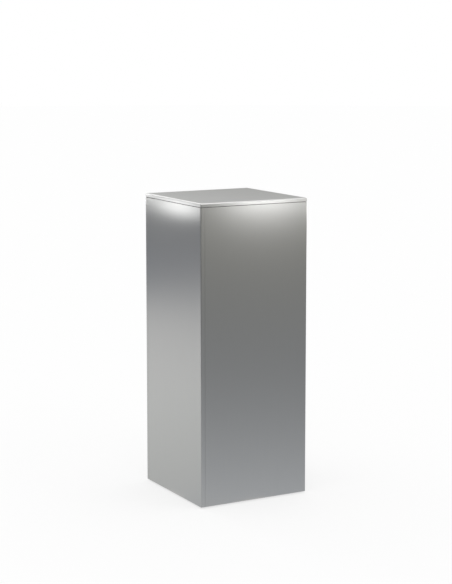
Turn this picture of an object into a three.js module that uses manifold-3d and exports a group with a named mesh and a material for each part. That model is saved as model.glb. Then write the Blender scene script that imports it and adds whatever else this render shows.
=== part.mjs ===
// A square pedestal column for showing a plant or a sculpture, clad in satin stainless sheet.
//
// A box of four identical MDF boards stands on four screw-in levelling feet. Four identical sheets
// are bonded round it. Each sheet covers one side and folds round its right-hand corner, so that a
// hairline seam runs up every side, one return's width from the left-hand corner. A flush lid lies on
// a foam gasket and drops into an opening in the top board.
//
// Millimetres, +Z up. The origin is on the floor, under the middle of the column. Front is -Y.
import * as THREE from "three";
import { mergeVertices } from "three/addons/utils/BufferGeometryUtils.js";
import Module from "manifold-3d";

// ---------------------------------------------------------------- driving dimensions

const COLUMN_WIDTH = 400; // over the cladding, the same both ways
const VISIBLE_HEIGHT = 1000; // lower edge of the cladding to the top of the lid
const GROUND_GAP = 5; // floor to the lower edge of the cladding
const FIT = 0.3; // glue line or resting gap between neighbouring pieces

const SKIN_THICKNESS = 1;
const FOLD_RADIUS = 3; // outside of the fold
const RETURN_WIDTH = 15; // corner to seam
const SEAM_GAP = 0.4;

const BOARD_THICKNESS = 16;
const BATTEN_SIZE = 24;
const BASE_THICKNESS = 18;
const BASE_RECESS = 20; // lower edge of the cladding to the underside of the base board
const BRACE_THICKNESS = 12;
const BRACE_OPENING = 220;
const TOP_BOARD_THICKNESS = 18;
const TOP_OPENING = 260;
const OPENING_CORNER_RADIUS = 20;

const LID_HEIGHT = 12.5;
const LID_SHEET_THICKNESS = 1;
const LID_EDGE_RADIUS = 4; // roll along the top edges
const LID_CORNER_RADIUS = 1.5; // ground weld at each upright corner
const JOINT_GAP = 1.6; // shadow line between the lid and the column
const GASKET_INSET = 3;
const GASKET_WIDTH = 14;
const PLUG_THICKNESS = 15;
const PLUG_CLEARANCE = 1; // plug to the edge of the top opening, each side

const SCREW_RADIUS = 2;
const SCREW_HEAD_RADIUS = 4;
const SCREW_HEAD_HEIGHT = 2.6;
const SCREW_TIP_LENGTH = 4;
const SCREW_SINK = 0.2; // head below the face it is driven into
const JOINT_SCREW_LENGTH = 45;
const JOINT_SCREW_END_DISTANCE = 90; // end of a board to its first and last screw
const JOINT_SCREW_COUNT = 3;
const BATTEN_SCREW_LENGTH = 60;
const LID_SCREW_LENGTH = 22;
const LID_SCREW_INSET = 25; // edge of the plug to its screws

const FOOT_INSET = 60; // outside of the column to a foot's axis
const SOLE_RADIUS = 18;
const SOLE_THICKNESS = 2.5;
const SOLE_PROUD = 1.2; // sole below the rim of its pad
const PAD_RADIUS = 20;
const PAD_RIM_HEIGHT = 3;
const PAD_HEIGHT = 11; // floor to the top of the pad's collar
const COLLAR_RADIUS = 8;
const BALL_RADIUS = 4;
const BALL_HEIGHT = 8.2; // floor to the middle of the ball
const BALL_CLEARANCE = 0.4;
const NECK_RADIUS = 2.6;
const HEX_ACROSS_FLATS = 10;
const HEX_HEIGHT = 5;
const HEX_GAP = 1; // collar to hexagon
const THREAD_RADIUS = 4; // M8
const THREAD_CHAMFER = 1;
const STEM_TOP = 52; // floor to the tip of the thread
const NUT_BORE_CLEARANCE = 0.4;
const NUT_WALL = 1.4;
const NUT_DEPTH = 12;
const NUT_FLANGE_RADIUS = 11;
const NUT_FLANGE_THICKNESS = 1.5;

const ARC_SEGMENTS = 6; // in a quarter turn of a fold
const SCREW_SEGMENTS = 10;
const HOLE_SEGMENTS = 12;
const STEM_SEGMENTS = 16;
const PAD_SEGMENTS = 24;

// ---------------------------------------------------------------- sizes that follow from them

const half = COLUMN_WIDTH / 2;
const boardOuter = half - SKIN_THICKNESS - FIT;
const boardMiddle = boardOuter - BOARD_THICKNESS / 2;
const boardInner = boardOuter - BOARD_THICKNESS;
const innerFit = boardInner - FIT; // what stands between the boards reaches this far
const bodyBottom = GROUND_GAP;
const lidTop = GROUND_GAP + VISIBLE_HEIGHT;
const lidBottom = lidTop - LID_HEIGHT;
const bodyTop = lidBottom - JOINT_GAP;
const baseBottom = bodyBottom + BASE_RECESS;
const baseTop = baseBottom + BASE_THICKNESS;
const topBoardBottom = bodyTop - TOP_BOARD_THICKNESS;
const plugTop = lidBottom - FIT;
const plugBottom = plugTop - PLUG_THICKNESS;
const plugHalf = TOP_OPENING / 2 - PLUG_CLEARANCE;
const battenMiddle = innerFit - BATTEN_SIZE / 2;
const holeRadius = SCREW_RADIUS + FIT;

// ---------------------------------------------------------------- solids

const wasm = await Module();
wasm.setup();

// A closed geometry as a solid that can be joined and cut.
function solid(geometry) {
  const bare = geometry.clone();
  bare.deleteAttribute("normal");
  bare.deleteAttribute("uv");
  const merged = mergeVertices(bare);
  return new wasm.Manifold(
    new wasm.Mesh({
      numProp: 3,
      vertProperties: new Float32Array(merged.getAttribute("position").array),
      triVerts: new Uint32Array(merged.index.array),
    }),
  );
}

function geometryOf(shape) {
  const mesh = shape.getMesh();
  const geometry = new THREE.BufferGeometry()
    .setAttribute("position", new THREE.BufferAttribute(mesh.vertProperties, 3))
    .setIndex(new THREE.BufferAttribute(mesh.triVerts, 1))
    .toNonIndexed();
  geometry.computeVertexNormals();
  return geometry;
}

function cut(geometry, tools) {
  const body = tools.reduce((rest, tool) => rest.subtract(solid(tool)), solid(geometry));
  return geometryOf(body);
}

function block(xMin, xMax, yMin, yMax, zMin, zMax) {
  return new THREE.BoxGeometry(xMax - xMin, yMax - yMin, zMax - zMin).translate(
    (xMin + xMax) / 2,
    (yMin + yMax) / 2,
    (zMin + zMax) / 2,
  );
}

// A profile of [radius, height] pairs, from the lowest point up the outside, turned round Z.
function turned(profile, segments) {
  const points = profile.map(([radius, height]) => new THREE.Vector2(radius, height));
  return new THREE.LatheGeometry(points, segments).rotateX(Math.PI / 2);
}

function upright(shape, zMin, zMax) {
  return new THREE.ExtrudeGeometry(shape, {
    depth: zMax - zMin,
    bevelEnabled: false,
    curveSegments: ARC_SEGMENTS,
  }).translate(0, 0, zMin);
}

function roundedSquare(halfWidth, radius) {
  const straight = halfWidth - radius;
  const shape = new THREE.Shape();
  [0, 1, 2, 3].forEach((quarter) => {
    const turn = (quarter * Math.PI) / 2;
    const x = straight * (quarter === 0 || quarter === 3 ? 1 : -1);
    const y = straight * (quarter < 2 ? 1 : -1);
    shape.absarc(x, y, radius, turn, turn + Math.PI / 2, false);
  });
  return shape;
}

// A square slab whose top edges are rolled over: rings of a rounded square, drawn in and lifted
// along a quarter circle, closed by a fan at each end.
function rolledSlab(halfWidth, edgeRadius, cornerRadius, zMin, zMax) {
  const sharpest = 0.2;
  const rings = [[0, zMin]];
  for (let i = 0; i <= ARC_SEGMENTS; i++) {
    const angle = (i / ARC_SEGMENTS) * (Math.PI / 2);
    const drawnIn = edgeRadius * (1 - Math.cos(angle));
    rings.push([drawnIn, zMax - edgeRadius * (1 - Math.sin(angle))]);
  }
  const loops = rings.map(([drawnIn, z]) => {
    const outline = roundedSquare(halfWidth - drawnIn, Math.max(cornerRadius - drawnIn, sharpest));
    return outline.getPoints(ARC_SEGMENTS / 2).map((p) => [p.x, p.y, z]);
  });
  const around = loops[0].length;
  const vertices = [...loops.flat(), [0, 0, zMin], [0, 0, zMax]];
  const bottom = vertices.length - 2;
  const top = vertices.length - 1;
  const last = (loops.length - 1) * around;
  const faces = [];
  for (let i = 0; i < around; i++) {
    const next = (i + 1) % around;
    faces.push(bottom, next, i, top, last + i, last + next);
    for (let ring = 0; ring < last; ring += around) {
      faces.push(ring + i, ring + next, ring + around + next);
      faces.push(ring + i, ring + around + next, ring + around + i);
    }
  }
  const geometry = new THREE.BufferGeometry()
    .setAttribute("position", new THREE.Float32BufferAttribute(vertices.flat(), 3))
    .setIndex(faces);
  geometry.computeVertexNormals();
  return geometry;
}

// ---------------------------------------------------------------- materials

function material(colour, roughness, metalness) {
  return new THREE.MeshStandardMaterial({ color: colour, roughness, metalness });
}

const satinSteel = material(0xb9bbbb, 0.32, 1);
const rawMdf = material(0x9c7a55, 0.85, 0);
const pine = material(0xd0ad78, 0.75, 0);
const blackMdf = material(0x1f1f20, 0.7, 0);
const foam = material(0x161616, 0.95, 0);
const zincSteel = material(0xb4b7ba, 0.35, 1);
const blackNylon = material(0x1b1b1d, 0.5, 0);
const rubber = material(0x2a2a2b, 0.9, 0);

const pedestal = new THREE.Group();

function add(group, name, geometry, finish) {
  const mesh = new THREE.Mesh(geometry, finish);
  mesh.name = name;
  group.add(mesh);
  return mesh;
}

// ---------------------------------------------------------------- screws and their holes

// A countersunk screw with its tip at z = 0 and its head's face at z = length.
function screw(length) {
  return turned(
    [
      [0, 0],
      [SCREW_RADIUS, SCREW_TIP_LENGTH],
      [SCREW_RADIUS, length - SCREW_HEAD_HEIGHT],
      [SCREW_HEAD_RADIUS, length],
      [0, length],
    ],
    SCREW_SEGMENTS,
  );
}

// The room that such a screw takes, running on past its head.
function screwHole(length) {
  return turned(
    [
      [0, -FIT],
      [holeRadius, -FIT],
      [holeRadius, length - SCREW_HEAD_HEIGHT],
      [SCREW_HEAD_RADIUS + FIT, length - SCREW_SINK],
      [SCREW_HEAD_RADIUS + FIT, length + SCREW_HEAD_HEIGHT],
      [0, length + SCREW_HEAD_HEIGHT],
    ],
    HOLE_SEGMENTS,
  );
}

// ---------------------------------------------------------------- one side, as the front

function jointScrewHeights() {
  const first = bodyBottom + JOINT_SCREW_END_DISTANCE;
  const last = bodyTop - JOINT_SCREW_END_DISTANCE;
  return Array.from(
    { length: JOINT_SCREW_COUNT },
    (_, i) => first + ((last - first) * i) / (JOINT_SCREW_COUNT - 1),
  );
}

// Sheet over the front that folds round the right-hand corner.
function skin() {
  const innerFace = half - SKIN_THICKNESS;
  const foldCentre = half - FOLD_RADIUS;
  const start = -half + RETURN_WIDTH + SEAM_GAP / 2;
  const end = -half + RETURN_WIDTH - SEAM_GAP / 2;
  const shape = new THREE.Shape();
  shape.moveTo(start, -half);
  shape.lineTo(foldCentre, -half);
  shape.absarc(foldCentre, -foldCentre, FOLD_RADIUS, -Math.PI / 2, 0, false);
  shape.lineTo(half, end);
  shape.lineTo(innerFace, end);
  shape.absarc(foldCentre, -foldCentre, FOLD_RADIUS - SKIN_THICKNESS, 0, -Math.PI / 2, true);
  shape.lineTo(start, -innerFace);
  return upright(shape, bodyBottom, bodyTop);
}

// Screws of this side's right-hand joint point along +Y, and the left-hand neighbour's along +X.
const jointScrewStart = -boardOuter + SCREW_SINK;

function board() {
  const easedRadius = FOLD_RADIUS - SKIN_THICKNESS - FIT;
  const easedCentre = boardOuter - easedRadius;
  const shape = new THREE.Shape();
  shape.moveTo(-innerFit, -boardOuter);
  shape.lineTo(easedCentre, -boardOuter);
  shape.absarc(easedCentre, -easedCentre, easedRadius, -Math.PI / 2, 0, false);
  shape.lineTo(boardOuter, -boardInner);
  shape.lineTo(-innerFit, -boardInner);
  const holes = jointScrewHeights().flatMap((z) => [
    screwHole(JOINT_SCREW_LENGTH)
      .rotateX(Math.PI / 2)
      .translate(boardMiddle, jointScrewStart + JOINT_SCREW_LENGTH, z),
    screwHole(JOINT_SCREW_LENGTH)
      .rotateY(-Math.PI / 2)
      .translate(jointScrewStart + JOINT_SCREW_LENGTH, -boardMiddle, z),
  ]);
  return cut(upright(shape, bodyBottom, bodyTop), holes);
}

// Glue block up the inside of the right-hand corner, between the base board and the top board.
function batten() {
  const ends = [
    screwHole(BATTEN_SCREW_LENGTH)
      .rotateX(Math.PI)
      .translate(battenMiddle, -battenMiddle, baseBottom + SCREW_SINK + BATTEN_SCREW_LENGTH),
    screwHole(BATTEN_SCREW_LENGTH).translate(
      battenMiddle,
      -battenMiddle,
      bodyTop - SCREW_SINK - BATTEN_SCREW_LENGTH,
    ),
  ];
  const inner = innerFit - BATTEN_SIZE;
  return cut(
    block(inner, innerFit, -innerFit, -inner, baseTop + FIT, topBoardBottom - FIT),
    ends,
  );
}

const skinGeometry = skin();
const boardGeometry = board();
const battenGeometry = batten();
const jointScrewGeometry = screw(JOINT_SCREW_LENGTH);
const battenScrewGeometry = screw(BATTEN_SCREW_LENGTH);

["front", "right", "back", "left"].forEach((side, quarter) => {
  const group = new THREE.Group();
  group.rotation.z = (quarter * Math.PI) / 2;
  pedestal.add(group);
  add(group, `skin_${side}`, skinGeometry, satinSteel);
  add(group, `board_${side}`, boardGeometry, rawMdf);
  add(group, `corner_batten_${side}`, battenGeometry, pine);
  jointScrewHeights().forEach((z, i) => {
    const joint = add(group, `joint_screw_${side}_${i + 1}`, jointScrewGeometry, zincSteel);
    joint.position.set(boardMiddle, jointScrewStart + JOINT_SCREW_LENGTH, z);
    joint.rotation.x = Math.PI / 2;
  });
  const baseScrew = add(group, `base_screw_${side}`, battenScrewGeometry, zincSteel);
  baseScrew.position.set(
    battenMiddle,
    -battenMiddle,
    baseBottom + SCREW_SINK + BATTEN_SCREW_LENGTH,
  );
  baseScrew.rotation.x = Math.PI;
  const topScrew = add(group, `top_screw_${side}`, battenScrewGeometry, zincSteel);
  topScrew.position.set(
    battenMiddle,
    -battenMiddle,
    bodyTop - SCREW_SINK - BATTEN_SCREW_LENGTH,
  );
});

// ---------------------------------------------------------------- boards across the column

const corners = [
  ["front_left", -1, -1],
  ["front_right", 1, -1],
  ["back_right", 1, 1],
  ["back_left", -1, 1],
];
const footAxis = half - FOOT_INSET;
const nutOuterRadius = THREAD_RADIUS + NUT_BORE_CLEARANCE + NUT_WALL;

function baseBoard() {
  const holes = corners.flatMap(([, x, y]) => [
    new THREE.CylinderGeometry(
      nutOuterRadius + FIT,
      nutOuterRadius + FIT,
      BASE_THICKNESS * 2,
      HOLE_SEGMENTS * 2,
    )
      .rotateX(Math.PI / 2)
      .translate(x * footAxis, y * footAxis, baseBottom + BASE_THICKNESS / 2),
    screwHole(BATTEN_SCREW_LENGTH)
      .rotateX(Math.PI)
      .translate(
        x * battenMiddle,
        y * battenMiddle,
        baseBottom + SCREW_SINK + BATTEN_SCREW_LENGTH,
      ),
  ]);
  return cut(block(-innerFit, innerFit, -innerFit, innerFit, baseBottom, baseTop), holes);
}

// Ring-shaped board half way up that keeps the sides flat, notched round the battens.
function midBrace() {
  const middle = (baseTop + topBoardBottom) / 2;
  const zMin = middle - BRACE_THICKNESS / 2;
  const notch = innerFit - BATTEN_SIZE - FIT;
  const shape = new THREE.Shape();
  shape.moveTo(innerFit, -notch);
  for (let quarter = 0; quarter < 4; quarter++) {
    const turn = (quarter * Math.PI) / 2;
    const place = (x, y) =>
      shape.lineTo(
        Math.round(Math.cos(turn)) * x - Math.round(Math.sin(turn)) * y,
        Math.round(Math.sin(turn)) * x + Math.round(Math.cos(turn)) * y,
      );
    place(innerFit, notch);
    place(notch, notch);
    place(notch, innerFit);
  }
  shape.holes.push(roundedSquare(BRACE_OPENING / 2, OPENING_CORNER_RADIUS));
  return upright(shape, zMin, zMin + BRACE_THICKNESS);
}

function topBoard() {
  const shape = new THREE.Shape();
  shape.moveTo(-innerFit, -innerFit);
  shape.lineTo(innerFit, -innerFit);
  shape.lineTo(innerFit, innerFit);
  shape.lineTo(-innerFit, innerFit);
  shape.holes.push(roundedSquare(TOP_OPENING / 2, OPENING_CORNER_RADIUS));
  const holes = corners.map(([, x, y]) =>
    screwHole(BATTEN_SCREW_LENGTH).translate(
      x * battenMiddle,
      y * battenMiddle,
      bodyTop - SCREW_SINK - BATTEN_SCREW_LENGTH,
    ),
  );
  return cut(upright(shape, topBoardBottom, bodyTop), holes);
}

add(pedestal, "base_board", baseBoard(), blackMdf);
add(pedestal, "mid_brace", midBrace(), rawMdf);
add(pedestal, "top_board", topBoard(), rawMdf);

// ---------------------------------------------------------------- lid

const lidScrewAxis = plugHalf - LID_SCREW_INSET;
const lidScrewTip = plugBottom + SCREW_SINK + LID_SCREW_LENGTH;

function lidScrewHoles() {
  return corners.map(([, x, y]) =>
    screwHole(LID_SCREW_LENGTH)
      .rotateX(Math.PI)
      .translate(x * lidScrewAxis, y * lidScrewAxis, lidScrewTip),
  );
}

function lidTray() {
  const inside = rolledSlab(
    half - LID_SHEET_THICKNESS,
    LID_EDGE_RADIUS - LID_SHEET_THICKNESS,
    LID_CORNER_RADIUS - LID_SHEET_THICKNESS,
    lidBottom - LID_SHEET_THICKNESS,
    lidTop - LID_SHEET_THICKNESS,
  );
  return cut(rolledSlab(half, LID_EDGE_RADIUS, LID_CORNER_RADIUS, lidBottom, lidTop), [inside]);
}

function lidCore() {
  const gap = LID_SHEET_THICKNESS + FIT;
  return cut(
    rolledSlab(half - gap, LID_EDGE_RADIUS - gap, LID_CORNER_RADIUS, lidBottom, lidTop - gap),
    lidScrewHoles(),
  );
}

function lidPlug() {
  const shape = roundedSquare(plugHalf, OPENING_CORNER_RADIUS - PLUG_CLEARANCE);
  return cut(upright(shape, plugBottom, plugTop), lidScrewHoles());
}

function lidGasket() {
  const outer = half - GASKET_INSET;
  const inner = outer - GASKET_WIDTH;
  return cut(block(-outer, outer, -outer, outer, bodyTop + FIT, lidBottom - FIT), [
    block(-inner, inner, -inner, inner, bodyTop - FIT, lidBottom + FIT),
  ]);
}

const lid = new THREE.Group();
pedestal.add(lid);
add(lid, "lid_tray", lidTray(), satinSteel);
add(lid, "lid_core", lidCore(), rawMdf);
add(lid, "lid_plug", lidPlug(), rawMdf);
add(lid, "lid_gasket", lidGasket(), foam);

const lidScrewGeometry = screw(LID_SCREW_LENGTH);
corners.forEach(([corner, x, y]) => {
  const fixing = add(lid, `lid_screw_${corner}`, lidScrewGeometry, zincSteel);
  fixing.position.set(x * lidScrewAxis, y * lidScrewAxis, lidScrewTip);
  fixing.rotation.x = Math.PI;
});

// ---------------------------------------------------------------- levelling feet

// Rubber disc that the column stands on, let into the underside of the pad.
function footSole() {
  return new THREE.CylinderGeometry(SOLE_RADIUS, SOLE_RADIUS, SOLE_THICKNESS, PAD_SEGMENTS)
    .rotateX(Math.PI / 2)
    .translate(0, 0, SOLE_THICKNESS / 2);
}

// Nylon pad with a socket that holds the ball of the stem.
function footPad() {
  const socketRadius = BALL_RADIUS + BALL_CLEARANCE;
  const mouthAngle = Math.asin((PAD_HEIGHT - BALL_HEIGHT) / socketRadius);
  const socket = [];
  for (let i = 0; i <= ARC_SEGMENTS; i++) {
    const angle = mouthAngle - ((mouthAngle + Math.PI / 2) * i) / ARC_SEGMENTS;
    socket.push([
      i === ARC_SEGMENTS ? 0 : socketRadius * Math.cos(angle),
      BALL_HEIGHT + socketRadius * Math.sin(angle),
    ]);
  }
  return turned(
    [
      [0, SOLE_THICKNESS + FIT],
      [SOLE_RADIUS + FIT, SOLE_THICKNESS + FIT],
      [SOLE_RADIUS + FIT, SOLE_PROUD],
      [PAD_RADIUS, SOLE_PROUD],
      [PAD_RADIUS, SOLE_PROUD + PAD_RIM_HEIGHT],
      [COLLAR_RADIUS, BALL_HEIGHT],
      [COLLAR_RADIUS, PAD_HEIGHT],
      ...socket,
    ],
    PAD_SEGMENTS,
  );
}

// Ball, neck, hexagon for a spanner, and thread, in one piece of steel.
function footStem() {
  const neckAngle = Math.acos(NECK_RADIUS / BALL_RADIUS);
  const ball = [];
  for (let i = 0; i <= ARC_SEGMENTS; i++) {
    const angle = -Math.PI / 2 + ((neckAngle + Math.PI / 2) * i) / ARC_SEGMENTS;
    ball.push([
      i === 0 ? 0 : BALL_RADIUS * Math.cos(angle),
      BALL_HEIGHT + BALL_RADIUS * Math.sin(angle),
    ]);
  }
  const hexBottom = PAD_HEIGHT + HEX_GAP;
  const hexMiddle = hexBottom + HEX_HEIGHT / 2;
  const stem = turned(
    [
      ...ball,
      [NECK_RADIUS, hexMiddle],
      [THREAD_RADIUS, hexMiddle],
      [THREAD_RADIUS, STEM_TOP - THREAD_CHAMFER],
      [THREAD_RADIUS - THREAD_CHAMFER, STEM_TOP],
      [0, STEM_TOP],
    ],
    STEM_SEGMENTS,
  );
  const hexRadius = HEX_ACROSS_FLATS / 2 / Math.cos(Math.PI / 6);
  const hexagon = new THREE.CylinderGeometry(hexRadius, hexRadius, HEX_HEIGHT, 6)
    .rotateX(Math.PI / 2)
    .translate(0, 0, hexMiddle);
  return geometryOf(solid(stem).add(solid(hexagon)));
}

// Flanged insert nut, pushed up into the base board from below.
function footNut() {
  const bore = THREAD_RADIUS + NUT_BORE_CLEARANCE;
  const flangeTop = baseBottom - FIT;
  const flangeBottom = flangeTop - NUT_FLANGE_THICKNESS;
  return turned(
    [
      [bore, flangeBottom],
      [NUT_FLANGE_RADIUS, flangeBottom],
      [NUT_FLANGE_RADIUS, flangeTop],
      [nutOuterRadius, flangeTop],
      [nutOuterRadius, flangeTop + NUT_DEPTH],
      [bore, flangeTop + NUT_DEPTH],
      [bore, flangeBottom],
    ],
    STEM_SEGMENTS,
  );
}

const soleGeometry = footSole();
const padGeometry = footPad();
const stemGeometry = footStem();
const nutGeometry = footNut();

corners.forEach(([corner, x, y]) => {
  const foot = new THREE.Group();
  foot.position.set(x * footAxis, y * footAxis, 0);
  pedestal.add(foot);
  add(foot, `foot_sole_${corner}`, soleGeometry, rubber);
  add(foot, `foot_pad_${corner}`, padGeometry, blackNylon);
  add(foot, `foot_stem_${corner}`, stemGeometry, zincSteel);
  add(foot, `foot_nut_${corner}`, nutGeometry, zincSteel);
});

export default pedestal;
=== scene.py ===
import math
from functools import partial

import bpy
import numpy as np
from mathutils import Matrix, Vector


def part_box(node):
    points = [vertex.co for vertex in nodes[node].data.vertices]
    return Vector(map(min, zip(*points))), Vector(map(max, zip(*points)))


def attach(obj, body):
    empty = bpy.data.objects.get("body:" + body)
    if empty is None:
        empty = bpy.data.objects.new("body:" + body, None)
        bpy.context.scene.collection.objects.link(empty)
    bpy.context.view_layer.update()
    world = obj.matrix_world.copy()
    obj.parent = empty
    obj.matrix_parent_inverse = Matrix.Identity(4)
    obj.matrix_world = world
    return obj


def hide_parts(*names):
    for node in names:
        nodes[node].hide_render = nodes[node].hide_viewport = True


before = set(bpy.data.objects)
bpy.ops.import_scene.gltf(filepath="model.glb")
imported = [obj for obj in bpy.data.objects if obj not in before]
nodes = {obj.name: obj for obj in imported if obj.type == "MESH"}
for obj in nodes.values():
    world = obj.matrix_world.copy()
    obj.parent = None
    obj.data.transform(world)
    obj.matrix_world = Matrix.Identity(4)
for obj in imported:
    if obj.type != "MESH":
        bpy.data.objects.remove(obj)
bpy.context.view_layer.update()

# ---------------------------------------------------------------- camera
# A long lens at eye height, turned so that the left side shows narrow and the front shows wide. The
# photograph's camera is level, with its lens shifted down. Only a part of that shift is kept, because
# every other view has it too, and the camera looks down for the rest.
CAMERA_PLACE = (-2.5941, -4.6900, 1.5406)
CAMERA_TURN = math.radians(-28.978)
CAMERA_DOWN = math.radians(7.078)
CAMERA_LENS = 98.68
CAMERA_SENSOR = 36.0
CAMERA_SHIFT = -0.10

camera_data = bpy.data.cameras.new("camera")
camera_data.lens = CAMERA_LENS
camera_data.sensor_width = CAMERA_SENSOR
camera_data.shift_y = CAMERA_SHIFT
camera = bpy.data.objects.new("camera", camera_data)
camera.location = CAMERA_PLACE
camera.rotation_euler = (math.pi / 2 - CAMERA_DOWN, 0.0, CAMERA_TURN)
bpy.context.scene.collection.objects.link(camera)
bpy.context.scene.camera = camera

# ---------------------------------------------------------------- floor
# A wide pale floor. It is white to the camera and in the metal, apart from the share of its own
# shading that keeps the column's shadow.
FLOOR_RADIUS = 30.0
FLOOR_SHADE_SHARE = 0.3
PALE_GREY = "#FCFCFC"
WHITE = "#FFFFFF"


def linear(srgb_hex):
    """The linear colour of an sRGB hex value: c / 12.92 in the toe, and above it
    ((c + 0.055) / 1.055) ^ 2.4."""
    parts = [int(srgb_hex[i : i + 2], 16) / 255 for i in (1, 3, 5)]
    toe = 0.04045
    return tuple(c / 12.92 if c <= toe else ((c + 0.055) / 1.055) ** 2.4 for c in parts) + (1.0,)


def node(tree, kind, settings=(), **sockets):
    """Adds a node with its settings, then fills its inputs with a value or with another node's output. An
    input goes by its name with underscores for spaces, or by i and its number."""
    made = tree.nodes.new(kind)
    for name, value in dict(settings).items():
        setattr(made, name, value)
    for name, value in sockets.items():
        key = int(name[1:]) if name[0] == "i" and name[1:].isdigit() else name.replace("_", " ")
        if isinstance(value, bpy.types.NodeSocket):
            tree.links.new(value, made.inputs[key])
        else:
            made.inputs[key].default_value = value
    return made


def material(name):
    """An empty node material and its output node."""
    made = bpy.data.materials.new(name)
    made.use_nodes = True
    made.node_tree.nodes.clear()
    return made, made.node_tree, made.node_tree.nodes.new("ShaderNodeOutputMaterial")


def mesh_object(name, vertices, faces, smooth=True):
    """A mesh object at the origin, from an array of points and an array or list of faces."""
    data = bpy.data.meshes.new(name)
    data.from_pydata(np.asarray(vertices).tolist(), [], list(faces))
    data.polygons.foreach_set("use_smooth", np.full(len(data.polygons), smooth))
    data.update()
    made = bpy.data.objects.new(name, data)
    bpy.context.scene.collection.objects.link(made)
    return made


def background_ray(tree):
    """1 where the camera, a mirror-like surface or a clear one looks at this shader, else 0."""
    path = node(tree, "ShaderNodeLightPath")
    seen = node(
        tree,
        "ShaderNodeMath",
        {"operation": "MAXIMUM"},
        i0=path.outputs["Is Camera Ray"],
        i1=path.outputs["Is Glossy Ray"],
    )
    return node(
        tree,
        "ShaderNodeMath",
        {"operation": "MAXIMUM"},
        i0=seen.outputs[0],
        i1=path.outputs["Is Transmission Ray"],
    ).outputs[0]


floor_paint, tree, output = material("pale_studio_floor")
shade = node(tree, "ShaderNodeBsdfDiffuse", Color=linear(PALE_GREY))
glow = node(tree, "ShaderNodeEmission", Color=linear(WHITE), Strength=1.0)
white_share = node(
    tree,
    "ShaderNodeMath",
    {"operation": "MULTIPLY"},
    i0=background_ray(tree),
    i1=1.0 - FLOOR_SHADE_SHARE,
)
floor_mix = node(
    tree,
    "ShaderNodeMixShader",
    i0=white_share.outputs[0],
    i1=shade.outputs[0],
    i2=glow.outputs[0],
)
tree.links.new(floor_mix.outputs[0], output.inputs["Surface"])

FLOOR_SIDES = 96
turn = np.linspace(0, 2 * np.pi, FLOOR_SIDES, endpoint=False)
rim = np.stack([FLOOR_RADIUS * np.cos(turn), FLOOR_RADIUS * np.sin(turn), 0 * turn], axis=1)
floor = mesh_object("studio_floor", rim, [list(range(FLOOR_SIDES))], smooth=False)
floor.data.materials.append(floor_paint)

# ---------------------------------------------------------------- surroundings
# A white studio all round: the background to the camera, the brightest thing in the metal, and the soft
# light on everything else.
WORLD_LIGHT = 1.0

world = bpy.data.worlds.new("studio_surroundings")
world.use_nodes = True
tree = world.node_tree
tree.nodes.clear()
white = node(tree, "ShaderNodeBackground", Color=linear(WHITE), Strength=WORLD_LIGHT)
output = node(tree, "ShaderNodeOutputWorld", Surface=white.outputs[0])
bpy.context.scene.world = world
bpy.context.scene.view_settings.view_transform = "Standard"

# ---------------------------------------------------------------- flags
# Grey cloth gives the metal its darker bands: a ring two metres off, its hem lifted on one side, and a
# carpet. Two oval cards of lit gauze, fading to nothing at the rim, make the glow under the lid on the
# left and the right. The camera sees none of them, and the tone of each is the light that it gives off.
RING_RADIUS = 2.0
RING_TOP = 1.62
RING_HEM_HEIGHT = 0.365
RING_TONE = 0.384
LIFTED_SIDE = math.radians(119)
DARKER_SIDE = math.radians(209)
RING_DIP = 0.4
CARPET_INSIDE = 0.22
CARPET_HEIGHT = 0.002
CARPET_TONES_LIFTED = (0.895, 1.125)
CARPET_TONES_HANGING = (0.81, 0.415)
CARPET_WARMTHS = (0.31, 0.52)
RING_WARMTHS = (0.3, 0.62)
RING_WARMS_FROM = 0.12
RING_WARMS_OVER = 0.3
COOL_WHITE = "#ECF2FF"
WARM_WHITE = "#FFFDEF"
CARD_DISTANCE = 0.31
CARD_ALONG = 0.145
CARD_HEIGHT = 0.96
CARD_HALF_WIDTH = 0.28
CARD_HALF_HEIGHT = 0.055
CARD_TONE = 2.55
CLOTH_SIDES = 72
CLOTH_ROWS = 8


def grid_faces(rows, columns, joined=False):
    """Four-sided faces between the rows of a grid whose columns close on themselves, and between the last
    row and the first if they are joined."""
    row = np.arange(rows if joined else rows - 1)[:, None]
    column = np.arange(columns)
    above = (row + 1) % rows * columns
    beside = (column + 1) % columns
    corners = [row * columns + column, row * columns + beside, above + beside, above + column]
    return np.stack(corners, axis=-1).reshape(-1, 4)


def cloth_grid(name, place_of, **values_of):
    """A surface of two parameters, the angle round Z and the share of the way from one edge to the other.
    Each point also carries the named values, which are functions of the same two."""
    turn, share = np.meshgrid(
        np.linspace(0, 2 * np.pi, CLOTH_SIDES, endpoint=False),
        np.linspace(0, 1, CLOTH_ROWS),
    )
    points = np.stack(place_of(turn, share), axis=-1).reshape(-1, 3)
    made = mesh_object(name, points, grid_faces(CLOTH_ROWS, CLOTH_SIDES))
    for kind, value_of in values_of.items():
        value = made.data.attributes.new(kind, "FLOAT", "POINT")
        value.data.foreach_set("value", value_of(turn, share).ravel())
    return made


def ring_place(turn, share):
    """Radius fixed. The hem's height follows the cosine of the angle from the lifted side, and is never
    below 0."""
    hem = RING_HEM_HEIGHT * np.clip(np.cos(turn - LIFTED_SIDE), 0, None)
    return RING_RADIUS * np.cos(turn), RING_RADIUS * np.sin(turn), hem + share * (RING_TOP - hem)


def carpet_place(turn, share):
    """Radius by share from the inside to under the ring, at one height."""
    radius = CARPET_INSIDE + share * (RING_RADIUS - CARPET_INSIDE)
    return radius * np.cos(turn), radius * np.sin(turn), CARPET_HEIGHT + 0 * turn


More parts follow.
